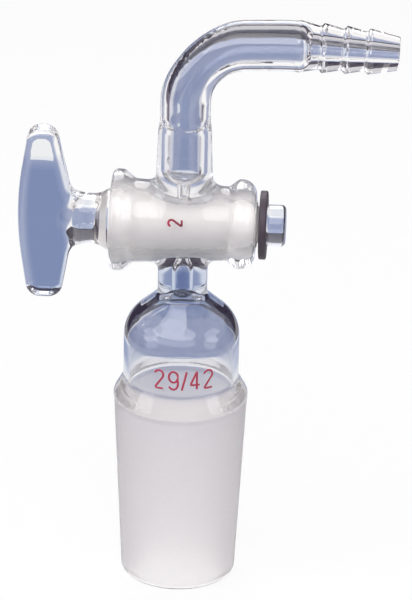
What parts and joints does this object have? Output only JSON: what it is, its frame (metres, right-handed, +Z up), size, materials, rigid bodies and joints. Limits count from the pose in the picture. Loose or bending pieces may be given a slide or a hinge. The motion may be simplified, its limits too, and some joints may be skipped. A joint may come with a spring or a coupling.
{
  "type": "glass stopcock adapter",
  "caption": "Glass stopcock adapter: ground cone, domed bulb, barrel with turning tapered plug and blade handle, and a bent arm ending in a hose barb.",
  "frame": {"origin": "centre of the ground cone's small end, on the plane of its rim", "axes": "+Z up along the cone, +X along the barrel toward the washer and the hose barb, +Y away from the viewer of the printed side"},
  "size_m": [0.0818, 0.0296, 0.1319],
  "materials": {
    "body_glass": "clear, with a ground cone and a ground barrel bore",
    "plug_glass": "clear, with a ground taper",
    "washer_rubber": "matt"
  },
  "bodies": {
    "glass_body": {"stopcock_body": "body_glass"},
    "turning_plug": {"plug": "plug_glass", "retaining_washer": "washer_rubber"}
  },
  "joints": [
    {"name": "plug_turn", "type": "hinge", "parent": "glass_body", "child": "turning_plug", "pos_m": [0, 0, 0.08409], "axis": [1, 0, 0], "continuous": true}
  ]
}
